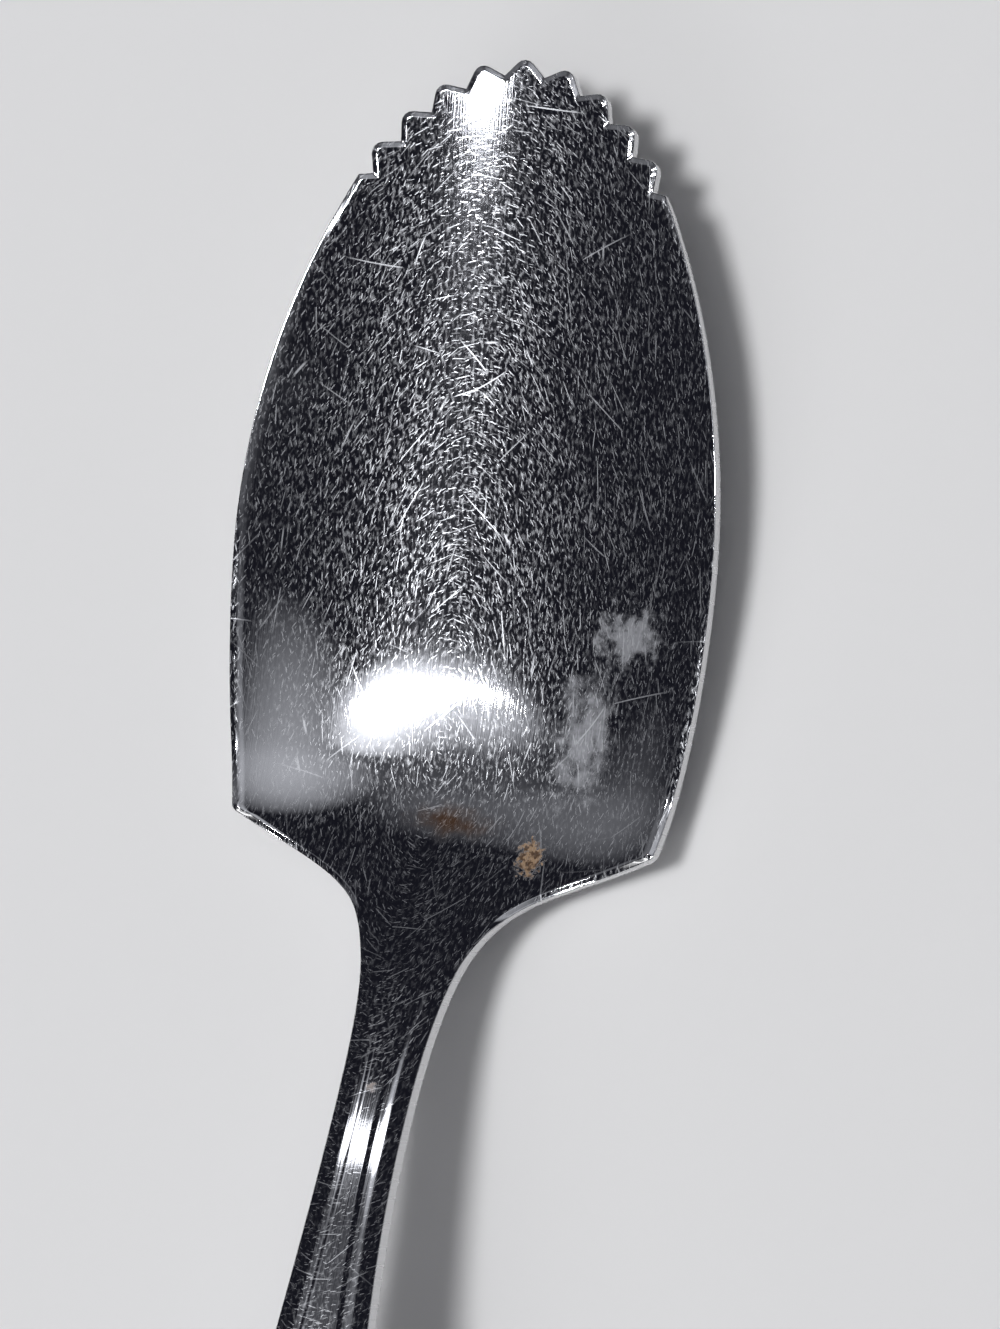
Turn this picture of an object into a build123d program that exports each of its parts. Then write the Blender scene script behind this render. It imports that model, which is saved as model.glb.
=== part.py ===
from build123d import *
import math
import os

# Grapefruit spoon: one stamping of stainless sheet, lying on its back.
# +Y points to the toothed tip, +X to the right and +Z up; the origin is under the middle of the spoon.
# A station is a distance along the spoon, measured back from the tip of the middle tooth.

# Lengths along the spoon, in millimetres
overall_length = 152.0
bowl_length = 45.7
widest_before_shoulder = 16.2
lowest_before_shoulder = 4.2
narrowest_past_shoulder = 17.0
ramp_past_shoulder = 11.0
end_round_length = 11.0

# Widths in plan
bowl_width = 30.0
shoulder_inset = 1.75
neck_width = 4.5
handle_width = 13.2

# Curves of the plan outline
front_side_radius = 48.0
shoulder_radius = 0.8
heel_edge_angle = 27.0
heel_edge_pull = 9.2
neck_edge_pull = 14.2
neck_flare_pull = 19.0
handle_flare_pull = 46.0

# Teeth of the tip
tooth_pitch = 2.52
tooth_angle = 90.0
tooth_crest_radius = 0.7
notches_per_side = 5
tip_radius = 6.0

# Hollow of the bowl
floor_radius = 250.0
dip_radius = 86.0
dip_length = 10.0
trough_radius = 33.0
scoop_rise = 3.5
scoop_start_before_shoulder = 25.0
scoop_end_before_shoulder = 3.0
heel_radius = 13.0
ramp_angle = 30.0

# Arch of the neck and the handle
neck_angle = 20.0
tail_angle = 13.5
neck_edge_drop = 0.8
neck_crown = 0.6
end_crown = 0.3

# Thicknesses, measured upright
tip_thickness = 0.9
bowl_thickness = 1.3
edge_thickness = 1.2
neck_belly = 0.9
end_belly = 0.3
heel_blend = 0.3
worn_flat_depth = 0.08

# Sunk panel of the handle, which narrows to a groove on the neck
panel_border = 1.65
panel_depth = 0.08
groove_width = 1.2

# Planes between the sections of the stamping
tip_section_past_teeth = 1.2
bowl_section_past_shoulder = 5.5

# Reach of the cutting bodies past the metal
tool_margin = 2.0
side_margin = 0.5
tool_height = 30.0

# Fineness of the curved faces
points_across = 15
station_step = 1.5
face_tolerance = 0.005
search_steps = 50

# Places that follow from the sizes
bowl_half = bowl_width / 2
shoulder_half = bowl_half - shoulder_inset
neck_half = neck_width / 2
handle_half = handle_width / 2
widest_at = bowl_length - widest_before_shoulder
lowest_at = bowl_length - lowest_before_shoulder
narrowest_at = bowl_length + narrowest_past_shoulder
ramp_end_at = bowl_length + ramp_past_shoulder
neck_section_start = bowl_length + bowl_section_past_shoulder
handle_widest_at = overall_length - end_round_length
rear_side_radius = (widest_before_shoulder**2 + shoulder_inset**2) / (2 * shoulder_inset)
quarter_ellipse_pull = 4 / 3 * (math.sqrt(2) - 1)
tooth_half_angle = math.radians(tooth_angle / 2)
crest_cut = tooth_crest_radius * (1 / math.sin(tooth_half_angle) - 1)

# Control points of the right edge, as (half width, station)
heel_edge = [
    (shoulder_half, bowl_length),
    (
        shoulder_half - heel_edge_pull * math.cos(math.radians(heel_edge_angle)),
        bowl_length + heel_edge_pull * math.sin(math.radians(heel_edge_angle)),
    ),
    (neck_half, narrowest_at - neck_edge_pull),
    (neck_half, narrowest_at),
]


def flare_edge(narrow_half, wide_half):
    """Control points of an edge that opens from the neck to the widest place of the handle."""
    return [
        (narrow_half, narrowest_at),
        (narrow_half, narrowest_at + neck_flare_pull),
        (wide_half, handle_widest_at - handle_flare_pull),
        (wide_half, handle_widest_at),
    ]


def end_edge(half, end):
    """Control points of a quarter ellipse that closes the handle."""
    return [
        (half, handle_widest_at),
        (half, handle_widest_at + (end - handle_widest_at) * quarter_ellipse_pull),
        (half * quarter_ellipse_pull, end),
        (0, end),
    ]


def place(x, station, z=0.0):
    """Point of the spoon's frame."""
    return Vector(x, overall_length / 2 - station, z)


def smooth_step(value):
    """Ease from 0 to 1."""
    value = min(max(value, 0.0), 1.0)
    return value * value * (3 - 2 * value)


def smooth_min(first, second, blend):
    """Lower of two heights, rounded where they cross."""
    share = max(blend - abs(first - second), 0.0) / blend
    return min(first, second) - share * share * blend / 4


def search(rising, target, low, high):
    """Place between low and high where a rising function reaches the target."""
    for _ in range(search_steps):
        middle = (low + high) / 2
        if rising(middle) < target:
            low = middle
        else:
            high = middle
    return low


def curve_width(curve, station):
    """Half width of an edge curve at a station."""

    def coordinate(axis, t):
        a, b, c, d = [point[axis] for point in curve]
        u = 1 - t
        return a * u**3 + 3 * b * u * u * t + 3 * c * u * t * t + d * t**3

    t = search(lambda value: coordinate(1, value), station, 0.0, 1.0)
    return coordinate(0, t)


def half_width(station):
    """Half width of the heel, the neck and the handle, without the rounded end."""
    if station <= narrowest_at:
        return curve_width(heel_edge, max(station, bowl_length))
    return curve_width(flare_edge(neck_half, handle_half), min(station, handle_widest_at))


# Heights of the hollow
floor_low = bowl_thickness - worn_flat_depth
heel_run = heel_radius * math.sin(math.radians(ramp_angle))
heel_top = floor_low + heel_radius * (1 - math.cos(math.radians(ramp_angle)))


def floor_height(station):
    """Middle line of the hollow: long floor, dip, heel curve, straight ramp."""
    run = station - lowest_at
    if run <= 0:
        dip = min(-run, dip_length)
        front = max(-run - dip_length, 0.0)
        rise = front * dip_length / dip_radius + front**2 / (2 * floor_radius)
        return floor_low + dip**2 / (2 * dip_radius) + rise
    if run <= heel_run:
        return floor_low + heel_radius - math.sqrt(heel_radius**2 - run**2)
    return heel_top + (run - heel_run) * math.tan(math.radians(ramp_angle))


def dish_height(x, station):
    """Upper face of the bowl: a round trough in front, a flat scoop towards the heel."""
    start = bowl_length - scoop_start_before_shoulder
    end = bowl_length - scoop_end_before_shoulder
    share = smooth_step((station - start) / (end - start))
    trough = x * x / (2 * trough_radius)
    scoop = scoop_rise * abs(x / bowl_half) ** 3
    return floor_height(station) + (1 - share) * trough + share * scoop


# The handle's upper edges leave the ramp, follow one arc and run straight down to the end
neck_slope = math.tan(math.radians(neck_angle))
tail_slope = math.tan(math.radians(tail_angle))
arch_start_height = floor_height(ramp_end_at) - neck_edge_drop
end_edge_height = edge_thickness + end_belly - worn_flat_depth
slopes_meet_at = (
    end_edge_height - arch_start_height + overall_length * tail_slope + ramp_end_at * neck_slope
) / (neck_slope + tail_slope)
arch_tangent = (slopes_meet_at - ramp_end_at) / math.cos(math.radians(neck_angle))
arch_radius = arch_tangent / math.tan(math.radians((neck_angle + tail_angle) / 2))
arch_middle = ramp_end_at + arch_radius * math.sin(math.radians(neck_angle))
arch_centre = arch_start_height - arch_radius * math.cos(math.radians(neck_angle))
tail_start = arch_middle + arch_radius * math.sin(math.radians(tail_angle))


def edge_height(station):
    """Height of the upper edge of the neck and the handle."""
    if station < ramp_end_at:
        return arch_start_height - (ramp_end_at - station) * neck_slope
    if station < tail_start:
        return arch_centre + math.sqrt(arch_radius**2 - (station - arch_middle) ** 2)
    return end_edge_height + (overall_length - station) * tail_slope


def rounding(x, station, at_neck, at_end):
    """Bulge across the neck and the handle, which fades from the neck to the end."""
    share = smooth_step((station - narrowest_at) / (overall_length - narrowest_at))
    bulge = at_neck + (at_end - at_neck) * share
    return bulge * (1 - (x / half_width(station)) ** 2)


def crown_height(x, station):
    """Upper face of the neck and the handle."""
    return edge_height(station) + rounding(x, station, neck_crown, end_crown)


def panel_height(x, station):
    """Floor of the sunk panel."""
    return crown_height(x, station) - panel_depth


def sheet_thickness(station):
    """Thickness of the bowl's sheet, which thins out to the teeth."""
    share = min(max(station / lowest_at, 0.0), 1.0)
    return tip_thickness + (bowl_thickness - tip_thickness) * share


def under_height(x, station):
    """Underside: the sheet under the bowl, with the neck's belly running out under the heel."""
    sheet = dish_height(x, station) - sheet_thickness(station)
    if station < bowl_length:
        return sheet
    bar = edge_height(station) - edge_thickness - rounding(x, station, neck_belly, end_belly)
    return smooth_min(sheet, bar, heel_blend)


def bowl_reach(station):
    """Half width of a tool over the bowl, the same at every station."""
    return bowl_half + tool_margin


def handle_reach(station):
    """Half width of a tool over the neck and the handle."""
    return half_width(station) + side_margin


def curved_face(height, reach, start, end):
    """Face through the heights of one stretch of the spoon."""
    count = math.ceil((end - start) / station_step)
    rows = []
    for index in range(count + 1):
        station = start + (end - start) * index / count
        half = reach(station)
        step = 2 * half / (points_across - 1)
        sides = [step * number - half for number in range(points_across)]
        rows.append([place(x, station, height(x, station)) for x in sides])
    return Face.make_surface_from_array_of_points(rows, tol=face_tolerance)


def above(face):
    """Everything over a curved face."""
    return Solid.extrude(face, Vector(0, 0, tool_height))


def below(face):
    """Everything under a curved face."""
    return Solid.extrude(face, Vector(0, 0, -tool_height))


def stretch(start, end):
    """Block over one stretch of the spoon."""
    width = bowl_width + 2 * tool_margin
    block = Box(width, end - start, tool_height, align=(Align.CENTER, Align.MAX, Align.MIN))
    return Pos(place(0, start)) * block


def notch(number):
    """Half width and station of a notch, counted from the middle along a parabola."""

    def run(half):
        slope = half / tip_radius
        return (half * math.sqrt(1 + slope * slope) + tip_radius * math.asinh(slope)) / 2

    length = (number - 0.5) * tooth_pitch
    half = search(run, length, 0.0, length)
    first_half = search(run, tooth_pitch / 2, 0.0, length)
    tip_depth = first_half / math.tan(tooth_half_angle) - crest_cut
    return half, tip_depth + (half**2 - first_half**2) / (2 * tip_radius)


def tooth(start, end):
    """One tooth between two notches: straight flanks and a rounded crest."""
    along = (end - start).normalized()
    outward = Vector(-along.Y, along.X)
    point = (start + end) / 2 + outward * ((end - start).length / 2 / math.tan(tooth_half_angle))
    tangent = tooth_crest_radius / math.tan(tooth_half_angle)
    rise_end = point + (start - point).normalized() * tangent
    fall_start = point + (end - point).normalized() * tangent
    crest = ThreePointArc(rise_end, point - outward * crest_cut, fall_start)
    return [Line(start, rise_end), crest, Line(fall_start, end)]


def toothed_area():
    """Plan area behind the serrated edge, wider and longer than the spoon."""
    right = [place(*notch(number)) for number in range(1, notches_per_side + 1)]
    left = [Vector(-point.X, point.Y) for point in reversed(right)]
    notches = left + right
    edges = []
    for start, end in zip(notches, notches[1:]):
        edges += tooth(start, end)

    # The outer flank of the last notch runs straight on past the side of the bowl
    last = notches[-1]
    along = Vector(tip_radius, -last.X).normalized()
    outward = Vector(-along.Y, along.X)
    flank = along * math.sin(tooth_half_angle) + outward * math.cos(tooth_half_angle)
    right_end = last + flank * ((bowl_half + tool_margin - last.X) / flank.X)
    back_right = Vector(right_end.X, place(0, overall_length + tool_margin).Y)
    back_left = Vector(-back_right.X, back_right.Y)
    left_end = Vector(-right_end.X, right_end.Y)
    edges.append(Polyline(last, right_end, back_right, back_left, left_end, notches[0]))
    return make_face(edges)


def bezier(points):
    """Curve through control points given as (half width, station)."""
    return Bezier(*[place(x, station) for x, station in points])


def both_sides(right):
    """Curves of the right side with their mirror images."""
    return right + [curve.mirror(Plane.YZ) for curve in right]


def spoon_outline():
    """Plan outline of the spoon, teeth included."""
    front_reach = math.sqrt(front_side_radius**2 - (front_side_radius - bowl_half) ** 2)
    widest = place(bowl_half, widest_at)
    shoulder = place(shoulder_half, bowl_length)
    right = [
        RadiusArc(place(0, widest_at - front_reach), widest, front_side_radius),
        RadiusArc(widest, shoulder, rear_side_radius),
        bezier(heel_edge),
        bezier(flare_edge(neck_half, handle_half)),
        bezier(end_edge(handle_half, overall_length)),
    ]
    whole = make_face(both_sides(right))
    left_shoulder = Vector(-shoulder.X, shoulder.Y)
    corners = [whole.vertices().sort_by_distance(point)[0] for point in (shoulder, left_shoulder)]
    return fillet(corners, shoulder_radius) & toothed_area()


def panel_outline():
    """Plan outline of the sunk panel and of the groove that leads it into the bowl."""
    groove_half = groove_width / 2
    panel_half = handle_half - panel_border
    right = [
        bezier([(x - neck_half + groove_half, station) for x, station in heel_edge]),
        bezier(flare_edge(groove_half, panel_half)),
        bezier(end_edge(panel_half, overall_length - panel_border)),
    ]
    front_half = shoulder_half - neck_half + groove_half
    front = Line(place(-front_half, bowl_length), place(front_half, bowl_length))
    return make_face(both_sides(right) + [front])


def front_metal(blank):
    """Bowl with its teeth, up to the start of the neck."""
    start = -tool_margin
    end = neck_section_start + tool_margin
    metal = blank & stretch(start, neck_section_start)
    metal -= above(curved_face(dish_height, bowl_reach, start, end))
    metal -= below(curved_face(under_height, bowl_reach, start, end))
    return metal


def rear_metal(blank):
    """Neck and handle."""
    start = neck_section_start - tool_margin
    end = overall_length + tool_margin
    ramp_tool_end = ramp_end_at + 2 * tool_margin
    panel = extrude(panel_outline(), amount=tool_height)
    metal = blank & stretch(neck_section_start, end)
    metal -= above(curved_face(crown_height, handle_reach, start, end))
    metal -= panel & above(curved_face(panel_height, handle_reach, start, end))
    metal -= above(curved_face(dish_height, handle_reach, start, ramp_tool_end))
    metal -= below(curved_face(under_height, handle_reach, start, end))
    return metal


def spoon_sections():
    """The four sections of the stamping, which meet face to face."""
    blank = extrude(spoon_outline(), amount=tool_height)
    front = front_metal(blank)
    rear = rear_metal(blank)
    tip_end = notch(notches_per_side)[1] + tip_section_past_teeth
    return {
        "serrated_tip": front & stretch(-tool_margin, tip_end),
        "bowl": front & stretch(tip_end, neck_section_start),
        "neck": rear & stretch(neck_section_start, narrowest_at),
        "handle": rear & stretch(narrowest_at, overall_length + tool_margin),
    }


os.makedirs("parts", exist_ok=True)
for name, section in spoon_sections().items():
    export_step(section, f"parts/{name}.step")
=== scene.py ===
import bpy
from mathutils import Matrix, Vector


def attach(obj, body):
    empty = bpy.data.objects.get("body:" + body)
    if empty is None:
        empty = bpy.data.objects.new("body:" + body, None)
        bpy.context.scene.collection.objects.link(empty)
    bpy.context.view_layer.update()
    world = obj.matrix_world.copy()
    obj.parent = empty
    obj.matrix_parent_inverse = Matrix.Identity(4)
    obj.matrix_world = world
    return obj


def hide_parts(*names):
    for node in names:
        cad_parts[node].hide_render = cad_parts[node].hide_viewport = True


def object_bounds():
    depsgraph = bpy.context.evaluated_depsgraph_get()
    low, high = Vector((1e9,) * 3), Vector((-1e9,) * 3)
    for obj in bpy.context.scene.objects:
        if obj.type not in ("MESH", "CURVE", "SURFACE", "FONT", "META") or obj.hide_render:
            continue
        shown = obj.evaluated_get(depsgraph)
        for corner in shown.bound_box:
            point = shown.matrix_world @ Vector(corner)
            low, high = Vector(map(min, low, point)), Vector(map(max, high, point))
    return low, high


bl_info = {
    "name": "Grapefruit spoon",
    "version": (1, 0, 0),
    "blender": (4, 5, 0),
    "location": "View3D > Sidebar > Spoon",
    "description": "Builds a worn stainless steel grapefruit spoon around its CAD frame",
    "category": "Object",
}

import math

import bmesh
import bpy
import numpy as np
from bpy.props import FloatProperty, FloatVectorProperty, IntProperty, PointerProperty
from mathutils import Euler, Matrix, Vector

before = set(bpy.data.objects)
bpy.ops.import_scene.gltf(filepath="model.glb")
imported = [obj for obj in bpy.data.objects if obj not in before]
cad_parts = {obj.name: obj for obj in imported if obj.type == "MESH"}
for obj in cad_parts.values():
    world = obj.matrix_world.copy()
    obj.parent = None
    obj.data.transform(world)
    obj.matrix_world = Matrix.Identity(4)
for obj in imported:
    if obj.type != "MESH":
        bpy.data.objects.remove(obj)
CAD_LOW, CAD_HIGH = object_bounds()

MM = 0.001

# Fineness of the sheet: steps along a flank, a crest, an edge curve, the rounded edge and the handle's end,
# and how far round that end the straight rows go, in degrees
FLANK_STEPS = 4
CREST_STEPS = 4
CURVE_STEPS = 4001
ROUND_STEPS = 4
END_STEPS = 40
END_TURN = 80

# Lengths between rows: plain, fine from just before the shoulders to the neck's end, and at a section plane;
# and the length over which a slope is measured
ROW_STEP = 0.5 * MM
FINE_STEP = 0.12 * MM
SHOULDER_REACH = 1.2 * MM
SEAM_STEP = 0.04 * MM
SLOPE_STEP = 0.01 * MM

# Toothed tip: line inside the teeth, rows in front of it and behind it, and the flank outside the last notch
TOOTH_LINE_DEPTH = 1.1 * MM
TOOTH_ROWS = (0, 0.06, 0.15, 0.28, 0.44, 0.62, 0.81)
TIP_ROWS = 14
TIP_ROWS_REACH = 6 * MM
LEAST_WAY_IN = 0.5
CORNER_SLANT = 0.35
FLANK_REACH = 3 * MM
FLANK_PHASE = 0.7
MIRROR = np.array([-1, 1])

# Columns that follow the panel's edge: their shares of the half width, and where they start and stop
PANEL_COLUMNS = np.array([0.4, 0.6])
PANEL_START = 2 * MM
PANEL_EASE_IN = 6 * MM
PANEL_STOP = 2 * MM
PANEL_EASE_OUT = 9 * MM

# Broken edge: rows across it, and its steepness on the teeth, on the front of the sides and on the rear
CHAMFER_ROWS = (0.15, 0.85)
TEETH_EDGE, FRONT_EDGE, REAR_EDGE = 1.0, 0.3, 2.6
FRONT_EDGE_RUN_IN = 4 * MM
FRONT_EDGE_STOP = 28 * MM
REAR_EDGE_START, REAR_EDGE_STOP = 36 * MM, 50 * MM

# Press: where the border rises out of the heel, and how the neck's form stays clear of the bowl
BORDER_BEFORE_NECK = 1 * MM
BORDER_PAST_NECK = 4 * MM
BEVEL_BLEND = 0.35
CROWN_LIFT = 2.0
BAR_LIFT = 0.8

# Scratches, in millimetres: sets from fine to coarse, most of them swirling round the bowl
SWIRL = {"Turn": math.pi / 2, "Swirl": 1.0}
SCRATCH_SETS = (
    {"Cell": 0.25, "Length": 0.5, "Width": 0.028, "Bend": 0.2, "Share": 0.8, "Spread": 1.2, **SWIRL},
    {"Cell": 0.5, "Length": 0.9, "Width": 0.035, "Bend": 0.2, "Share": 0.8, "Spread": 1.0, **SWIRL},
    {"Cell": 1.1, "Length": 2.2, "Width": 0.035, "Bend": 0.08, "Share": 0.8, "Spread": 0.8, **SWIRL},
    {"Cell": 2.4, "Length": 4.8, "Width": 0.035, "Bend": 0.05, "Share": 0.8, "Spread": 1.0, **SWIRL},
    {"Cell": 3.4, "Length": 5.0, "Width": 0.05, "Bend": 0.08, "Share": 0.7},
    {"Cell": 3.0, "Length": 1.8, "Width": 0.08, "Bend": 0.1, "Share": 0.3, "Spread": 1.0, **SWIRL},
)
SEED_SHIFT = (37.3, 11.9)
DEPTH_SHUFFLE = 7.31
SHORTEST_REACH, LONGEST_REACH = 0.15, 0.5
FADE_START = 0.3

# Polishing marks that make the speckle, the patches in which it lies and the grains of the rust
MARK_SETS = (
    {"Fineness": 5.0, "Reach": 0.45, "Low": 0.48, "High": 0.78},
    {"Fineness": 0.5, "Reach": 4.0, "Low": 0.25, "High": 0.75},
    {"Fineness": 3.5, "Reach": 0.3, "Low": 0.42, "High": 0.58},
)
LEAST_SPECKLE = 0.3

# Spots on the upper face, in millimetres: dried water, rust, and a brown patch in the heel that is a painted
# reflection
SPOT_VALUES = ("X", "Y", "Radius", "Squash", "Grain", "Raggedness", "Softness")
SPOTS = {
    "haze": (7.3, 37.0, 2.4, 0.5, 1.1, 1.6, 1.0),
    "ring": (9.6, 43.1, 2.7, 1.4, 0.9, 2.2, 0.8),
    "rust": (5.2, 29.6, 0.9, 0.7, 0.35, 2.0, 0.35),
    "small_rust": (-0.14, 15.15, 0.4, 1.0, 0.3, 1.2, 0.6),
    # Painted reflection: a brown patch low in the heel, as if the steel mirrored something brown
    "painted_reflection": (-0.2, 31.2, 3.6, 2.6, 1.2, 0.9, 1.0),
}
UPPER_FACE = (0.0, 0.2)
HAZE_LINES, HAZE_EVEN = 0.6, 0.5
RING_SHARE = 0.65
SMALL_RUST_SHARE = 0.5

# How much each kind of wear dulls the mirror, roughens it, and lies on it as a scratched skin; the painted
# brown reflection in the heel dulls it too
LINE_DULL, SPECKLE_DULL, HAZE_DULL, PAINTED_REFLECTION_DULL, RUST_DULL = 0.4, 0.12, 0.7, 0.15, 0.9
MOST_DULL = 0.6
POLISH_ROUGH, HAZE_ROUGH, RUST_ROUGH = 0.03, 0.1, 0.3
SPECKLE_SKIN, LINE_SKIN = 0.36, 0.9
LINE_DEPTH = 0.25

# Lamps: lit pieces, tilt to the right and to the tip in degrees, distance, width and length, power, lean
BOWL = ("steel_serrated_tip", "steel_bowl")
NECK = ("steel_neck", "steel_handle")
FLOOR = ("floor",)
LAMPS = {
    "lamp_fill": ((), (-25.0, -48.0), 1.7, (1.4, 0.8), 6.0, 0.0),
    "lamp_floor": (FLOOR, (-7.0, -2.0), 1.2, (0.34, 0.34), 17.0, 0.0),
    "lamp_floor_fill": (FLOOR, (0.0, 0.0), 1.2, (2.0, 2.0), 9.0, 0.0),
    "lamp_bowl": (BOWL + NECK, (-12.0, -1.4), 1.2, (0.36, 0.036), 13.0, 0.7),
    "lamp_halo": (BOWL, (-12.0, -0.6), 1.25, (0.75, 0.19), 0.45, 0.5),
    "lamp_front": (BOWL, (-12.5, -14.2), 1.2, (0.2, 0.03), 6.0, 0.0),
    "lamp_tip": (BOWL, (-12.5, -12.45), 1.2, (0.16, 0.014), 0.16, 0.0),
    "lamp_left": (BOWL, (16.0, 15.0), 1.2, (1.22, 1.04), 2.0, 0.0),
    "lamp_middle": (BOWL, (-18.0, 12.0), 1.2, (0.87, 0.73), 0.13, 0.0),
    "lamp_right": (BOWL, (-48.0, 28.5), 1.2, (1.56, 0.87), 0.6, 0.0),
    "lamp_neck": (NECK, (-8.0, 28.3), 1.2, (0.78, 0.12), 2.2, 0.0),
    "lamp_neck_halo": (NECK, (-8.0, 28.3), 1.25, (0.78, 0.32), 0.45, 0.0),
    "lamp_neck_glow": (NECK, (-8.0, 14.0), 1.25, (0.78, 1.17), 0.5, 0.0),
}

# Where the lamps aim, how the pale wall fades to the other side of the room, and the floor
LAMP_AIM = Vector((0.0, 0.035, 0.0))
WALL_SIDE = (0.0, 0.8)
CARD_ROUGHNESS, CARD_GLOSS = 0.9, 0.1
FLOOR_CORNERS = 96

# Camera: width of its sensor in millimetres, and the nearest place that it sees
SENSOR_WIDTH = 36.0
NEAREST_SEEN = 10 * MM


def metres(name, value, description):
    """A length in metres."""
    return FloatProperty(
        name=name, description=description, default=value, unit="LENGTH", subtype="DISTANCE", precision=5
    )


def length(name, millimetres, description):
    """A size of the spoon, written in millimetres and kept in metres."""
    return metres(name, millimetres * MM, description)


def angle(name, degrees, description):
    """An angle, written in degrees and kept in radians."""
    return FloatProperty(name=name, description=description, default=math.radians(degrees), subtype="ANGLE")


def number(name, value, description):
    """A plain number."""
    return FloatProperty(name=name, description=description, default=value, precision=4)


def colour(name, value, description):
    """A colour."""
    return FloatVectorProperty(
        name=name, description=description, default=value, subtype="COLOR", min=0.0, max=1.0
    )


class SpoonSizes(bpy.types.PropertyGroup):
    """Sizes of the stamping."""

    overall_length: metres("Overall Length", CAD_HIGH.y - CAD_LOW.y, "From the tip to the handle's end")
    bowl_width: metres("Bowl Width", CAD_HIGH.x - CAD_LOW.x, "Widest place of the bowl")
    bowl_length: length("Bowl Length", 45.7, "From the tip to the shoulders")
    widest_before_shoulder: length("Widest Before Shoulder", 16.2, "Widest place, from the shoulders")
    lowest_before_shoulder: length("Lowest Before Shoulder", 4.2, "Lowest place, from the shoulders")
    narrowest_past_shoulder: length("Narrowest Past Shoulder", 17.0, "Narrowest place of the neck")
    ramp_past_shoulder: length("Ramp Past Shoulder", 11.0, "Where the heel ramp meets the handle's arch")
    end_round_length: length("End Round", 11.0, "Length of the rounded end of the handle")
    shoulder_inset: length("Shoulder Inset", 1.75, "How far the shoulders stand in from the widest place")
    neck_width: length("Neck Width", 4.5, "Width of the neck")
    handle_width: length("Handle Width", 13.2, "Widest place of the handle")
    front_side_radius: length("Front Side Radius", 48.0, "Curve of the bowl's sides at the front")
    shoulder_radius: length("Shoulder Radius", 0.8, "Rounding of the shoulders")
    heel_edge_angle: angle("Heel Edge Angle", 27.0, "Slant of the heel edge where it leaves the shoulder")
    heel_edge_pull: length("Heel Edge Pull", 9.2, "How long the heel edge keeps its slant")
    neck_edge_pull: length("Neck Edge Pull", 14.2, "How long the neck stays narrow before the heel")
    neck_flare_pull: length("Neck Flare Pull", 19.0, "How long the neck stays narrow behind the heel")
    handle_flare_pull: length("Handle Flare Pull", 46.0, "How long the handle stays wide")
    tooth_pitch: length("Tooth Pitch", 2.52, "Distance between notches along the tip")
    tooth_angle: angle("Tooth Angle", 90.0, "Angle between the flanks of a tooth")
    tooth_crest_radius: length("Tooth Crest Radius", 0.7, "Rounding of a tooth's crest")
    notches_per_side: IntProperty(
        name="Notches Per Side", description="Notches on each side of the tip", default=5
    )
    tip_radius: length("Tip Radius", 6.0, "Curve of the toothed tip in plan")
    floor_radius: length("Floor Radius", 250.0, "Lengthwise curve of the front of the hollow")
    dip_radius: length("Dip Radius", 86.0, "Lengthwise curve in front of the lowest place")
    dip_length: length("Dip Length", 10.0, "Length of that curve")
    trough_radius: length("Trough Radius", 33.0, "Crosswise curve of the front of the hollow")
    scoop_rise: length("Scoop Rise", 3.5, "Rise of the sides near the heel")
    scoop_start: length("Scoop Start", 25.0, "Where the flat scoop starts, measured from the shoulders")
    scoop_end: length("Scoop End", 3.0, "Where the flat scoop is full, measured from the shoulders")
    heel_radius: length("Heel Radius", 13.0, "Curve of the floor up to the heel ramp")
    ramp_angle: angle("Ramp Angle", 30.0, "Slope of the heel ramp")
    neck_angle: angle("Neck Angle", 20.0, "Slope of the neck")
    tail_angle: angle("Tail Angle", 13.5, "Slope of the handle's end")
    neck_edge_drop: length("Neck Edge Drop", 0.8, "From the end of the heel ramp down to the neck's edge")
    neck_crown: length("Neck Crown", 0.45, "Height of the neck's top over its edge")
    end_crown: length("End Crown", 0.3, "Height of the handle's top over its edge, at the end")
    border_bevel: length("Border Bevel", 0.9, "Width of the slope along the edge of the neck and handle")
    tip_thickness: length("Tip Thickness", 0.9, "Sheet at the teeth")
    bowl_thickness: length("Bowl Thickness", 1.3, "Sheet under the bowl")
    edge_thickness: length("Edge Thickness", 1.2, "Edge of the handle")
    neck_belly: length("Neck Belly", 0.9, "Bulge under the neck")
    end_belly: length("End Belly", 0.3, "Bulge under the end of the handle")
    heel_blend: length("Heel Blend", 0.3, "Rounding where the neck's belly runs out under the heel")
    crease_blend: length("Crease Blend", 0.12, "Rounding of the crease between ramp and neck")
    worn_flat_depth: length("Worn Flat Depth", 0.08, "Metal worn off where the bowl rests")
    panel_border: length("Panel Border", 1.65, "Border around the sunk panel")
    panel_depth: length("Panel Depth", 0.07, "Depth of the sunk panel")
    panel_bevel: length("Panel Bevel", 0.35, "Width of the slope around the panel")
    groove_width: length("Groove Width", 1.2, "Width of the panel on the neck")
    rim_radius: length("Rim Radius", 0.1, "Rounding of the cut edge")
    rim_chamfer: length("Rim Chamfer", 0.28, "Width of the broken edge round the bowl and on the teeth")
    rim_slope: angle("Rim Slope", 17.0, "Slope of the broken edge")
    tip_section: length("Tip Section", 1.2, "Section plane behind the last notch")
    bowl_section: length("Bowl Section", 5.5, "Section plane behind the shoulders")


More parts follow.
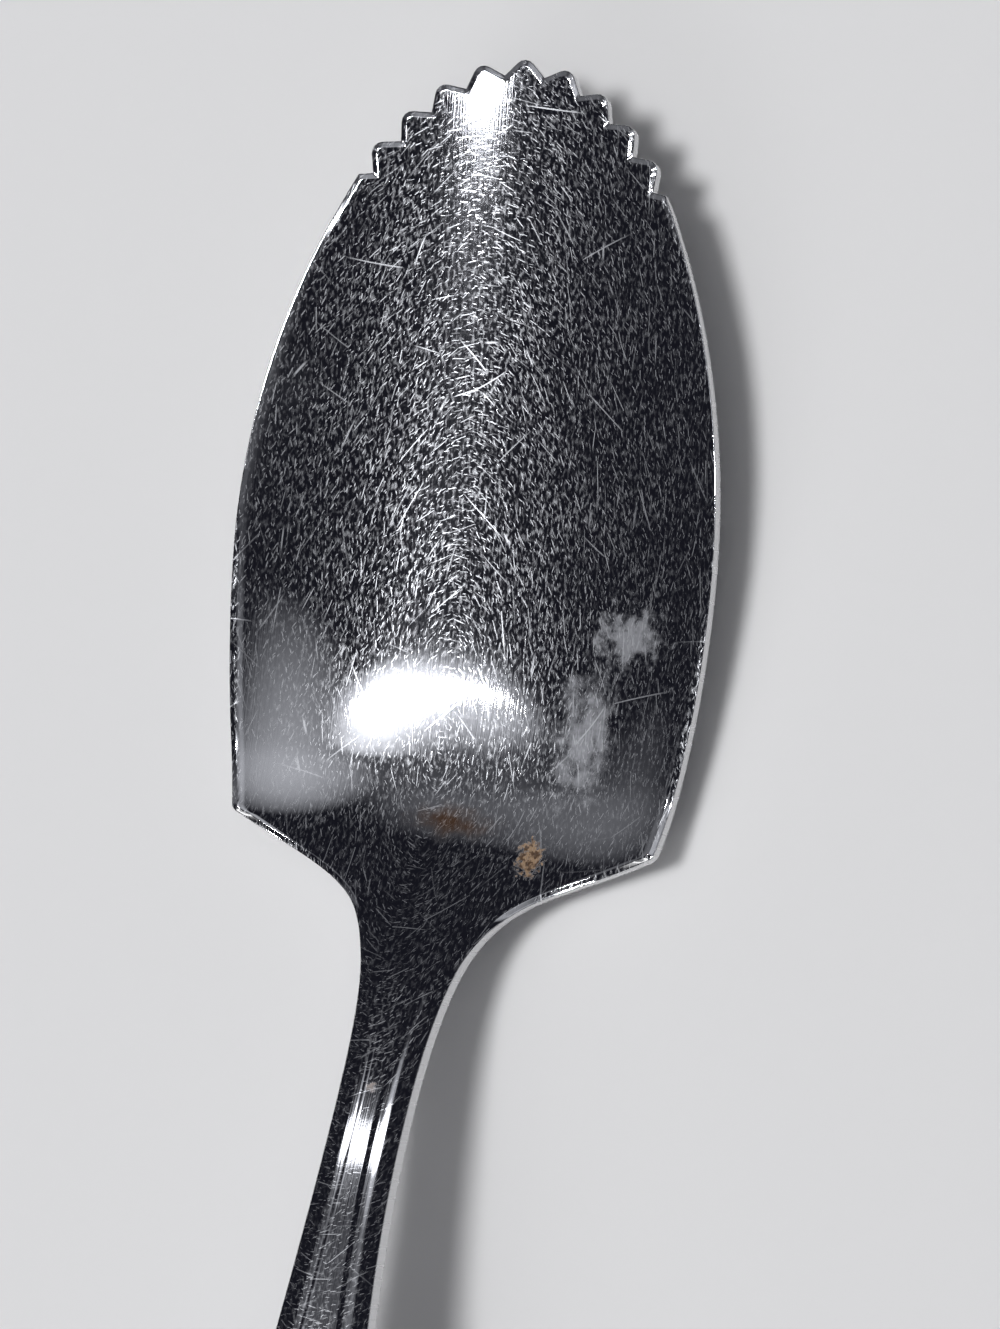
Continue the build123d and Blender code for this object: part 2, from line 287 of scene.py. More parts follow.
class SteelFinish(bpy.types.PropertyGroup):
    """Finish of the steel."""

    steel_colour: colour("Steel", (0.59, 0.59, 0.6), "Reflected colour of the steel")
    # Brown of the painted reflection in the heel, mixed into the steel's colour
    painted_reflection_colour: colour("Painted Reflection", (0.27, 0.15, 0.09), "Colour of the tarnish at the heel")
    rust_colour: colour("Rust Speck", (0.42, 0.28, 0.17), "Colour of the rust specks")
    dark_rust_colour: colour("Dark Rust", (0.12, 0.07, 0.04), "Colour of the dark grains in the rust specks")
    polish_roughness: number("Polish", 0.025, "Roughness of the polished steel")
    scratch_depth: number("Scratch Depth", 0.002, "Depth of the scratches, in millimetres")
    scratch_roughness: number("Scratch Roughness", 0.38, "Roughness of the scratched skin")
    scratch_gloss: number("Scratch Gloss", 4.5, "Refractive index that sets the scratched skin's brightness")


class StudioSet(bpy.types.PropertyGroup):
    """Floor, lamps and camera."""

    floor_colour: colour("Floor", (0.78, 0.78, 0.79), "Colour of the floor")
    dark_colour: colour("Dark Room", (0.012, 0.0125, 0.019), "Surrounding light")
    wall_colour: colour("Pale Wall", (0.4, 0.405, 0.42), "Low wall that the steel mirrors")
    wall_full: number("Wall Full", 0.35, "Height up to which the wall is pale, as the sine of the angle")
    wall_top: number("Wall Top", 0.7, "Height at which the wall has gone dark, as the sine of the angle")
    lamp_colour: colour("Lamps", (0.92, 0.94, 1.0), "Colour of the lamps that light the steel")
    floor_radius: metres("Floor Radius", 4.0, "Radius of the floor")
    camera_place: FloatVectorProperty(
        name="Camera Place",
        description="Where the camera stands",
        default=(0.0966114, 0.0182834, 0.2662528),
        subtype="TRANSLATION",
    )
    camera_turn: FloatVectorProperty(
        name="Camera Turn",
        description="How the camera is turned",
        default=(math.radians(7.3086), math.radians(18.9641), math.radians(8.2155)),
        subtype="EULER",
    )
    camera_lens: number("Camera Lens", 128.954, "Focal length in millimetres on a 36 mm sensor")


def feed(tree, slot, value):
    """Link a wire to a socket, or set the socket's own value."""
    if isinstance(value, Wire):
        tree.links.new(value.socket, slot)
    else:
        slot.default_value = value


class Wire:
    """A value on its way through a node tree. Arithmetic with it adds Math nodes."""

    def __init__(self, tree, socket):
        self.tree = tree
        self.socket = socket

    def math(self, operation, *others):
        node = self.tree.nodes.new("ShaderNodeMath")
        node.operation = operation
        for slot, value in zip(node.inputs, (self, *others)):
            feed(self.tree, slot, value)
        return Wire(self.tree, node.outputs[0])

    def __add__(self, other):
        return self.math("ADD", other)

    def __sub__(self, other):
        return self.math("SUBTRACT", other)

    def __rsub__(self, other):
        return self.math("MULTIPLY_ADD", -1.0, other)

    def __mul__(self, other):
        return self.math("MULTIPLY", other)

    def __truediv__(self, other):
        return self.math("DIVIDE", other)

    def at_least(self, other):
        return self.math("MAXIMUM", other)

    def at_most(self, other):
        return self.math("MINIMUM", other)

    def between(self, low, high):
        return self.at_least(low).at_most(high)

    def size(self):
        return self.math("ABSOLUTE")

    def root(self):
        return self.math("SQRT")

    def squared(self):
        return self * self

    def eased(self, start, end):
        """0 before start, 1 after end, smooth between them."""
        node = self.tree.nodes.new("ShaderNodeMapRange")
        node.interpolation_type = "SMOOTHSTEP"
        for slot, value in zip(node.inputs, (self, start, end)):
            feed(self.tree, slot, value)
        return Wire(self.tree, node.outputs[0])


def split(tree, vector):
    """Three parts of a vector."""
    node = tree.nodes.new("ShaderNodeSeparateXYZ")
    feed(tree, node.inputs[0], vector)
    return [Wire(tree, part) for part in node.outputs]


def join(tree, **parts):
    """Vector from its parts."""
    node = tree.nodes.new("ShaderNodeCombineXYZ")
    for axis, value in parts.items():
        feed(tree, node.inputs[axis], value)
    return Wire(tree, node.outputs[0])


def smooth_min(first, second, blend):
    """Lower of two wires, rounded where they cross."""
    share = (blend - (first - second).size()).at_least(0.0) / blend
    return first.at_most(second) - share.squared() * blend * 0.25


def bezier(points, t):
    """Points of a cubic curve."""
    a, b, c, d = (np.array(point) for point in points)
    t = t[:, None]
    u = 1 - t
    return a * u**3 + 3 * b * u * u * t + 3 * c * u * t * t + d * t**3


def width_on(curve, station):
    """Half width of an edge curve at the stations."""
    line = bezier(curve, np.linspace(0, 1, CURVE_STEPS))
    return np.interp(station, line[:, 1], line[:, 0])


def slope_of(half_at, station):
    """Change of a half width along the spoon."""
    return (half_at(station + SLOPE_STEP) - half_at(station - SLOPE_STEP)) / (2 * SLOPE_STEP)


def unit(vector):
    """Vector of length 1, for one vector or for rows of them."""
    return vector / np.linalg.norm(vector, axis=-1, keepdims=True)


class Plan:
    """Plan of the stamping. Points are (distance from the middle, station), counted back from the tip."""

    def __init__(self, sizes):
        self.sizes = sizes
        self.bowl_half = sizes.bowl_width / 2
        self.neck_half = sizes.neck_width / 2
        self.handle_half = sizes.handle_width / 2
        self.shoulder_half = self.bowl_half - sizes.shoulder_inset
        self.widest_at = sizes.bowl_length - sizes.widest_before_shoulder
        self.lowest_at = sizes.bowl_length - sizes.lowest_before_shoulder
        self.narrowest_at = sizes.bowl_length + sizes.narrowest_past_shoulder
        self.ramp_end_at = sizes.bowl_length + sizes.ramp_past_shoulder
        self.neck_start = sizes.bowl_length + sizes.bowl_section
        self.handle_widest_at = sizes.overall_length - sizes.end_round_length
        rear_run = sizes.widest_before_shoulder
        self.rear_radius = (rear_run**2 + sizes.shoulder_inset**2) / (2 * sizes.shoulder_inset)
        self.inset = sizes.rim_radius * (1 - math.sin(sizes.rim_slope)) + sizes.rim_chamfer
        slant = np.array([-math.cos(sizes.heel_edge_angle), math.sin(sizes.heel_edge_angle)])
        shoulder = np.array([self.shoulder_half, sizes.bowl_length])
        self.heel_edge = [
            shoulder,
            shoulder + slant * sizes.heel_edge_pull,
            (self.neck_half, self.narrowest_at - sizes.neck_edge_pull),
            (self.neck_half, self.narrowest_at),
        ]
        self.round_shoulder(shoulder, slant)
        self.half_tooth = sizes.tooth_angle / 2
        self.crest_cut = sizes.tooth_crest_radius * (1 / math.sin(self.half_tooth) - 1)
        self.set_tip()

    def round_shoulder(self, shoulder, slant):
        """Circle that rounds the shoulder's corner."""
        sizes = self.sizes
        drop = math.sqrt(self.rear_radius**2 - sizes.widest_before_shoulder**2)
        side = unit(np.array([-sizes.widest_before_shoulder, drop]))
        turn = math.acos(float(side @ slant))
        reach = sizes.shoulder_radius * math.tan(turn / 2)
        start = shoulder - side * reach
        self.corner_centre = start + sizes.shoulder_radius * np.array([-side[1], side[0]])
        self.corner_start = start[1]
        self.corner_end = shoulder[1] + slant[1] * reach

    def flare(self, narrow_half, wide_half):
        """Edge that opens from the neck to the widest place of the handle."""
        return [
            (narrow_half, self.narrowest_at),
            (narrow_half, self.narrowest_at + self.sizes.neck_flare_pull),
            (wide_half, self.handle_widest_at - self.sizes.handle_flare_pull),
            (wide_half, self.handle_widest_at),
        ]

    def bar_half(self, station):
        """Half width of the heel, the neck and the handle, without the rounded end."""
        heel = width_on(self.heel_edge, np.maximum(station, self.sizes.bowl_length))
        rear = width_on(self.flare(self.neck_half, self.handle_half), station)
        return np.where(station <= self.narrowest_at, heel, rear)

    def outline_half(self, station):
        """Half width of the outline, without the rounded end."""
        sizes = self.sizes
        run = station - self.widest_at
        radius = np.where(run < 0, sizes.front_side_radius, self.rear_radius)
        side = self.bowl_half - radius + np.sqrt(np.maximum(radius**2 - run**2, 0))
        off = np.maximum(sizes.shoulder_radius**2 - (station - self.corner_centre[1]) ** 2, 0)
        corner = self.corner_centre[0] + np.sqrt(off)
        before = [station < self.corner_start, station < self.corner_end]
        return np.select(before, [side, corner], self.bar_half(station))

    def side_rows(self, station):
        """Outline points of the right side, and the way in from them for each unit of depth."""
        slope = slope_of(self.outline_half, station)
        out = np.column_stack([self.outline_half(station), station])
        way = np.column_stack([-np.sqrt(1 + slope**2), np.zeros_like(station)])
        return out, way

    def panel_half(self, station):
        """Half width of the sunk panel, without its rounded end."""
        groove = self.sizes.groove_width / 2
        heel = width_on(self.heel_edge, np.maximum(station, self.sizes.bowl_length))
        heel = heel - self.neck_half + groove
        rear = width_on(self.flare(groove, self.handle_half - self.sizes.panel_border), station)
        return np.where(station <= self.narrowest_at, heel, rear)

    def inside(self, x, station, half_at, end_half, end_reach):
        """How far a point lies inside an edge of the neck and handle; negative outside."""
        side = (half_at(station) - np.abs(x)) / np.sqrt(1 + slope_of(half_at, station) ** 2)
        past = np.maximum(station - self.handle_widest_at, 0)
        end = (1 - np.hypot(x / end_half, past / end_reach)) * end_half
        return np.where(station > self.handle_widest_at, end, side)

    def edge_inside(self, x, station):
        """How far a point lies inside the edge of the neck and handle."""
        return self.inside(x, station, self.bar_half, self.handle_half, self.sizes.end_round_length)

    def panel_inside(self, x, station):
        """How far a point lies inside the edge of the sunk panel."""
        half = self.handle_half - self.sizes.panel_border
        reach = self.sizes.end_round_length - self.sizes.panel_border
        return self.inside(x, station, self.panel_half, half, reach)

    def broken_edge(self, station):
        """Steepness of the broken edge along the rim: full on the teeth, steeper on the bowl's sides."""
        marks = {
            self.tip_end: TEETH_EDGE,
            self.tip_end + FRONT_EDGE_RUN_IN: FRONT_EDGE,
            FRONT_EDGE_STOP: FRONT_EDGE,
            REAR_EDGE_START: REAR_EDGE,
            REAR_EDGE_STOP: REAR_EDGE,
            self.neck_start: 0.0,
        }
        return np.interp(station, list(marks), list(marks.values()))

    def set_tip(self):
        """Notches, evenly spaced along a parabola."""
        sizes = self.sizes
        self.tip_x = np.linspace(0, self.bowl_half, CURVE_STEPS)
        slope = self.tip_x / sizes.tip_radius
        self.tip_run = (self.tip_x * np.sqrt(1 + slope**2) + sizes.tip_radius * np.arcsinh(slope)) / 2
        first = np.interp(sizes.tooth_pitch / 2, self.tip_run, self.tip_x)
        tooth_height = first / math.tan(self.half_tooth) - self.crest_cut
        self.tip_shift = tooth_height - first**2 / (2 * sizes.tip_radius)
        phases = np.arange(sizes.notches_per_side) + 0.5
        phases = np.concatenate([-phases[::-1], phases])
        self.notches = self.on_parabola(phases)
        self.tip_end = self.notches[-1][1] + sizes.tip_section

    def on_parabola(self, phase):
        """Points of the notch parabola; one step of phase is one tooth."""
        x = np.interp(np.abs(phase) * self.sizes.tooth_pitch, self.tip_run, self.tip_x) * np.sign(phase)
        return np.column_stack([x, self.tip_shift + x**2 / (2 * self.sizes.tip_radius)])

    def tooth(self, start, end):
        """Points of a tooth, from its notch to just before the next, ways in square to them, and phases."""
        sizes = self.sizes
        along = unit(end - start)
        outward = np.array([along[1], -along[0]])
        point = (start + end) / 2 + outward * (np.linalg.norm(end - start) / 2 / math.tan(self.half_tooth))
        centre = point - outward * (sizes.tooth_crest_radius / math.sin(self.half_tooth))
        turns = np.linspace(-1, 1, CREST_STEPS + 1) * (math.pi / 2 - self.half_tooth)
        crest_in = -(np.cos(turns)[:, None] * outward + np.sin(turns)[:, None] * along)
        crest = centre - sizes.tooth_crest_radius * crest_in
        share = np.linspace(0, 1, FLANK_STEPS + 1)[:, None]
        rise = start + (crest[0] - start) * share
        fall = crest[-1] + (end - crest[-1]) * share
        points = np.concatenate([rise[:-1], crest[:-1], fall[:-1]])
        rise_in, fall_in = (np.repeat(end_in, FLANK_STEPS, 0) for end_in in (crest_in[:1], crest_in[-1:]))
        inward = np.concatenate([rise_in, crest_in[:-1], fall_in])
        phase = ((points - start) @ along) / np.linalg.norm(end - start)
        return points, inward, phase

    def outer_flank(self):
        """Points of the flank between the last notch and the side of the bowl, and its inward direction."""
        last = self.notches[-1]
        along = unit(np.array([self.sizes.tip_radius, last[0]]))
        outward = np.array([along[1], -along[0]])
        flank = along * math.sin(self.half_tooth) + outward * math.cos(self.half_tooth)
        reach = np.linspace(0, FLANK_REACH, CURVE_STEPS)
        line = last + flank * reach[:, None]
        end = line[np.argmax(line[:, 0] > self.outline_half(line[:, 1]))]
        share = np.linspace(0, 1, FLANK_STEPS + 1)[:, None]
        return last + (end - last) * share, np.array([-flank[1], flank[0]])

    def toothed_edge(self):
        """Points of the toothed edge from left to right, their inward directions and their phases."""
        points, inward, phase = [], [], []
        first_phase = 0.5 - self.sizes.notches_per_side
        for number_from_left, (start, end) in enumerate(zip(self.notches, self.notches[1:])):
            tooth_points, tooth_inward, tooth_phase = self.tooth(start, end)
            points.append(tooth_points)
            inward.append(tooth_inward)
            phase.append(tooth_phase + number_from_left + first_phase)
        flank, flank_in = self.outer_flank()
        flank_phase = np.linspace(0, FLANK_PHASE, FLANK_STEPS + 1) - first_phase
        points = np.concatenate([flank[:0:-1] * MIRROR, *points, flank])
        left_in = np.repeat([flank_in * MIRROR], FLANK_STEPS, 0)
        right_in = np.repeat([flank_in], FLANK_STEPS + 1, 0)
        inward = np.concatenate([left_in, *inward, right_in])
        phase = np.concatenate([-flank_phase[:0:-1], *phase, flank_phase])
        return points, inward, phase


def tip_rows(plan):
    """Grid of the toothed tip, from the teeth back to its section plane, with the edges that it needs."""
    points, inward, phase = plan.toothed_edge()
    across = phase / phase[-1]
    turn_phase = plan.sizes.notches_per_side - 0.5

    # A smooth line inside the teeth, along which the rows stop following every tooth
    on_line = plan.on_parabola(np.clip(phase, -turn_phase, turn_phase))
    square = unit(np.column_stack([-on_line[:, 0] / plan.sizes.tip_radius, np.ones(len(on_line))]))
    inner = on_line + TOOTH_LINE_DEPTH * square
    corner = points[-1]
    side_at = (corner[1] + plan.tip_end) / 2
    side_out, side_way = plan.side_rows(np.array([side_at]))
    side_in = (side_out + side_way * plan.inset)[0]
    share = np.clip((np.abs(phase) - turn_phase) / (phase[-1] - turn_phase), 0, 1)[:, None]
    target = np.column_stack([np.sign(phase) * side_in[0], np.full(len(phase), side_in[1])])
    inner = inner * (1 - share) + target * share

    # Ways in from the edge, along the rows
    way = unit(inner - points)
    way = way / np.clip(np.sum(way * inward, axis=1), LEAST_WAY_IN, 1)[:, None]
    side_normal = unit(np.array([-1.0, CORNER_SLANT]))
    mitre = (side_normal + inward[-1]) / (1 + side_normal @ inward[-1])
    way[-1] = mitre
    way[0] = mitre * MIRROR

    start = points + way * plan.inset
    base_half = side_line(plan, np.array([plan.tip_end]))[0]
    base = np.column_stack([across * base_half, np.full(len(across), plan.tip_end)])
    near = np.array(TOOTH_ROWS)[:, None, None]
    far = np.linspace(0, 1, TIP_ROWS + 1)[:-1]
    far = np.append(far, [1 - SEAM_STEP / TIP_ROWS_REACH, 1.0])[:, None, None]
    grid = np.concatenate([start + (inner - start) * near, inner + (base - inner) * far])
    side_stations = grid[:, -1, 1]
    out, side_way = plan.side_rows(side_stations)
    out[0] = corner
    side_way[0] = mitre
    grid[1:, -1] = (out + side_way * plan.inset)[1:]
    grid[1:, 0] = grid[1:, -1] * MIRROR
    return grid, (out, side_way), (points, way)


def side_line(plan, station):
    """Half width of the grid, just inside the rounded edge."""
    out, way = plan.side_rows(station)
    return (out + way * plan.inset)[:, 0]


def row_stations(start, end, fine):
    """Stations of rows: an even step, a fine one in the given stretches, a short one at the ends."""
    station = start + SEAM_STEP
    stations = [station]
    while station < end - SEAM_STEP:
        near = any(low - ROW_STEP / 2 < station < high for low, high in fine)
        station += FINE_STEP if near else ROW_STEP
        stations.append(station)
    run = np.array(stations) - stations[0]
    stations = start + SEAM_STEP + run * (end - start - 2 * SEAM_STEP) / run[-1]
    return np.concatenate([[start], stations, [end]])


def body_rows(plan, across, start, end, fine):
    """Grid of straight rows between two section planes, and the outline at their ends."""
    sizes = plan.sizes
    stations = row_stations(start, end, fine)
    half = side_line(plan, stations)
    panel = plan.panel_half(stations)
    bevel = sizes.panel_bevel / 2
    rows = []
    for station, half_here, panel_here in zip(stations, half, panel):
        ease_in = np.clip((station - sizes.bowl_length - PANEL_START) / PANEL_EASE_IN, 0, 1)
        ease_out = np.clip((plan.handle_widest_at + PANEL_STOP - station) / PANEL_EASE_OUT, 0, 1)
        share = min(ease_in * ease_in * (3 - 2 * ease_in), ease_out * ease_out * (3 - 2 * ease_out))
        on_panel = np.array([panel_here - bevel, panel_here + bevel])
        places = PANEL_COLUMNS * half_here * (1 - share) + on_panel * share
        x = np.interp(np.abs(across), [0, *PANEL_COLUMNS, 1], [0, *places, half_here]) * np.sign(across)
        rows.append(np.column_stack([x, np.full(len(x), station)]))
    return np.array(rows), plan.side_rows(stations)


def end_rows(plan, across):
    """Grid of the handle's rounded end, behind its widest place."""
    half, reach = plan.handle_half, plan.sizes.end_round_length
    turns = np.radians(np.linspace(0, END_TURN, END_STEPS + 1))[1:]
    out = np.column_stack([half * np.cos(turns), plan.handle_widest_at + reach * np.sin(turns)])
    way = -unit(np.column_stack([np.cos(turns) / half, np.sin(turns) / reach]))
    inner = out + way * plan.inset
    rows = [np.column_stack([across * x, np.full(len(across), station)]) for x, station in inner]
    x = across * out[-1][0]
    last_turns = np.arccos(x / half)
    last = np.column_stack([x, plan.handle_widest_at + reach * np.sin(last_turns)])
    last_way = -unit(np.column_stack([np.cos(last_turns) / half, np.sin(last_turns) / reach]))
    rows[-1] = last + last_way * plan.inset
    return np.array(rows), (out, way), (last, last_way)


def rim_profile(plan):
    """Edge from top to underside: depth from the outline, layer, drop of the rounding and of the chamfer."""
    sizes = plan.sizes
    turns = np.linspace(sizes.rim_slope, math.pi / 2, ROUND_STEPS + 1)
    depth = sizes.rim_radius * (1 - np.sin(turns))
    fall = sizes.rim_radius * (math.cos(sizes.rim_slope) - np.cos(turns))
    slope = math.tan(sizes.rim_slope)
    reaches = [share * sizes.rim_chamfer for share in CHAMFER_ROWS]
    chamfer = [(plan.inset - reach, 1.0, 0.0, reach * slope) for reach in reaches]
    top = [(d, 1.0, f, sizes.rim_chamfer * slope) for d, f in zip(depth, fall)]
    under = [(d, 0.0, -f, 0.0) for d, f in zip(depth[::-1], fall[::-1])]
    return chamfer + top + under


def quads_of(index):
    """Faces between the neighbouring vertices of a grid."""
    corners = [index[:-1, :-1], index[:-1, 1:], index[1:, 1:], index[1:, :-1]]
    return np.stack(corners, axis=-1).reshape(-1, 4)


def boundary_lines(index, sides, front, back):
    """Lines along the edge of a grid, as (vertex of the upper sheet, point of the outline, way in)."""
    out, way = sides
    right = list(zip(index[:, -1], out, way))
    left = list(zip(index[:, 0], out * MIRROR, way * MIRROR))
    if front is not None:
        return [left[::-1] + list(zip(index[0], *front))[1:-1] + right]
    if back is not None:
        return [left + list(zip(index[-1], *back))[1:-1] + right[::-1]]
    return [left[::-1], right]


def flat_mesh(name, places, values, faces, caps):
    """Mesh in the plan, with named values on its points and a mark on its section faces."""
    mesh = bpy.data.meshes.new(name)
    vertices = np.column_stack([places[:, 0], CAD_HIGH.y - places[:, 1], np.zeros(len(places))])
    mesh.from_pydata(vertices.tolist(), [], faces + caps)
    for key, column in values.items():
        mesh.attributes.new(key, "FLOAT", "POINT").data.foreach_set("value", column.astype(np.float32))
    is_cap = np.zeros(len(mesh.polygons), bool)
    is_cap[len(faces):] = True
    mesh.attributes.new("section", "BOOLEAN", "FACE").data.foreach_set("value", is_cap)
    return mesh


def blank_mesh(name, plan, grid, sides, front=None, back=None):
    """Flat blank of one section: upper sheet, lower sheet, rounded edge and faces on the section planes."""
    rows, columns = grid.shape[:2]
    count = rows * columns
    index = np.arange(count).reshape(rows, columns)
    flat = grid.reshape(-1, 2)
    places = [flat, flat]
    layer = [np.ones(count), np.zeros(count)]
    drop = [np.zeros(2 * count)]
    upper_faces = np.roll(quads_of(index)[:, ::-1], 1, axis=1)
    faces = upper_faces.tolist() + (upper_faces[:, ::-1] + count).tolist()

    # Rounded edge, line by line from the upper sheet to the lower one
    next_vertex = 2 * count
    ends = {}
    for line in boundary_lines(index, sides, front, back):
        upper, points, ways = (np.array(part) for part in zip(*line))
        broken = plan.broken_edge(points[:, 1])
        ring = [upper]
        for depth, side, fall, chamfer_fall in rim_profile(plan):
            ring.append(next_vertex + np.arange(len(line)))
            next_vertex += len(line)
            places.append(points + ways * depth)
            layer.append(np.full(len(line), side))
            drop.append(fall + chamfer_fall * broken)
        ring = np.array([*ring, upper + count])
        faces += quads_of(ring).tolist()
        for at in (0, -1):
            ends[int(ring[0, at])] = ring[:, at].tolist()

    # Faces on the section planes
    caps = []
    for row, edge in ((index[0].tolist(), front), (index[-1].tolist(), back)):
        if edge is None:
            caps += [[a, b, b + count, a + count] for a, b in zip(row, row[1:])]
            caps += [ends[row[0]], ends[row[-1]]]

    places = np.concatenate(places)
    x, station = places.T
    values = {
        "across": x / plan.bar_half(station),
        "edge_inside": plan.edge_inside(x, station),
        "panel_inside": plan.panel_inside(x, station),
        "layer": np.concatenate(layer),
        "drop": np.concatenate(drop),
    }
    return flat_mesh(name, places, values, faces, caps)


def press_values(plan):
    """Named inputs of the press and their values."""
    sizes = plan.sizes
    floor_low = sizes.bowl_thickness - sizes.worn_flat_depth
    heel_run = sizes.heel_radius * math.sin(sizes.ramp_angle)
    heel_top = floor_low + sizes.heel_radius * (1 - math.cos(sizes.ramp_angle))
    slants = (sizes.ramp_angle, sizes.neck_angle, sizes.tail_angle)
    ramp_slope, neck_slope, tail_slope = (math.tan(slant) for slant in slants)
    ramp_end_height = heel_top + (plan.ramp_end_at - plan.lowest_at - heel_run) * ramp_slope
    arch_start_height = ramp_end_height - sizes.neck_edge_drop
    end_edge_height = sizes.edge_thickness + sizes.end_belly - sizes.worn_flat_depth
    rise = end_edge_height - arch_start_height
    rise = rise + sizes.overall_length * tail_slope + plan.ramp_end_at * neck_slope
    slopes_meet_at = rise / (neck_slope + tail_slope)
    arch_tangent = (slopes_meet_at - plan.ramp_end_at) / math.cos(sizes.neck_angle)
    arch_radius = arch_tangent / math.tan((sizes.neck_angle + sizes.tail_angle) / 2)
    arch_middle = plan.ramp_end_at + arch_radius * math.sin(sizes.neck_angle)
    return {
        "Tip": CAD_HIGH.y,
        "Lowest Station": plan.lowest_at,
        "Floor Height": floor_low,
        "Floor Radius": sizes.floor_radius,
        "Dip Radius": sizes.dip_radius,
        "Dip Length": sizes.dip_length,
        "Heel Radius": sizes.heel_radius,
        "Heel Run": heel_run,
        "Ramp Slope": ramp_slope,
        "Trough Radius": sizes.trough_radius,
        "Scoop Rise": sizes.scoop_rise,
        "Scoop Start": sizes.bowl_length - sizes.scoop_start,
        "Scoop End": sizes.bowl_length - sizes.scoop_end,
        "Bowl Half": plan.bowl_half,
        "Neck Start": plan.neck_start,
        "Narrowest Station": plan.narrowest_at,
        "Overall Length": sizes.overall_length,
        "Arch Start": plan.ramp_end_at,
        "Arch Middle": arch_middle,
        "Arch Centre Height": arch_start_height - arch_radius * math.cos(sizes.neck_angle),
        "Arch Radius": arch_radius,
        "Neck Slope": neck_slope,
        "Tail Start": arch_middle + arch_radius * math.sin(sizes.tail_angle),
        "Tail Slope": tail_slope,
        "Neck Crown": sizes.neck_crown,
        "End Crown": sizes.end_crown,
        "Neck Belly": sizes.neck_belly,
        "End Belly": sizes.end_belly,
        "Border Bevel": sizes.border_bevel,
        "Border Start": plan.neck_start - BORDER_BEFORE_NECK,
        "Border End": plan.neck_start + BORDER_PAST_NECK,
        "Tip Thickness": sizes.tip_thickness,
        "Bowl Thickness": sizes.bowl_thickness,
        "Edge Thickness": sizes.edge_thickness,
        "Panel Depth": sizes.panel_depth,
        "Panel Bevel": sizes.panel_bevel,
        "Crease Blend": sizes.crease_blend,
        "Heel Blend": sizes.heel_blend,
    }


def hollow_height(wires, x, station):
    """Height of the hollow: a round trough in front, a flat scoop towards the heel."""
    run = wires["Lowest Station"] - station
    dip = run.between(0.0, wires["Dip Length"])
    front = (run - wires["Dip Length"]).at_least(0.0)
    heel = (run * -1.0).between(0.0, wires["Heel Run"])
    ramp = (run * -1.0 - wires["Heel Run"]).at_least(0.0)
    floor = wires["Floor Height"] + dip.squared() / (wires["Dip Radius"] * 2.0)
    floor = floor + front * (wires["Dip Length"] / wires["Dip Radius"])
    floor = floor + front.squared() / (wires["Floor Radius"] * 2.0)
    floor = floor + wires["Heel Radius"] - (wires["Heel Radius"].squared() - heel.squared()).root()
    floor = floor + ramp * wires["Ramp Slope"]
    share = station.eased(wires["Scoop Start"], wires["Scoop End"])
    trough = x.squared() / (wires["Trough Radius"] * 2.0)
    aside = (x / wires["Bowl Half"]).size()
    scoop = aside.squared() * aside * wires["Scoop Rise"]
    return floor + trough * (1.0 - share) + scoop * share


def bar_edge_height(wires, station):
    """Height of the edge of the neck and handle: straight up the neck, over an arch, straight to the end."""
    on_arch = station.between(wires["Arch Start"], wires["Tail Start"]) - wires["Arch Middle"]
    edge = wires["Arch Centre Height"] + (wires["Arch Radius"].squared() - on_arch.squared()).root()
    edge = edge - (wires["Arch Start"] - station).at_least(0.0) * wires["Neck Slope"]
    return edge - (station - wires["Tail Start"]).at_least(0.0) * wires["Tail Slope"]


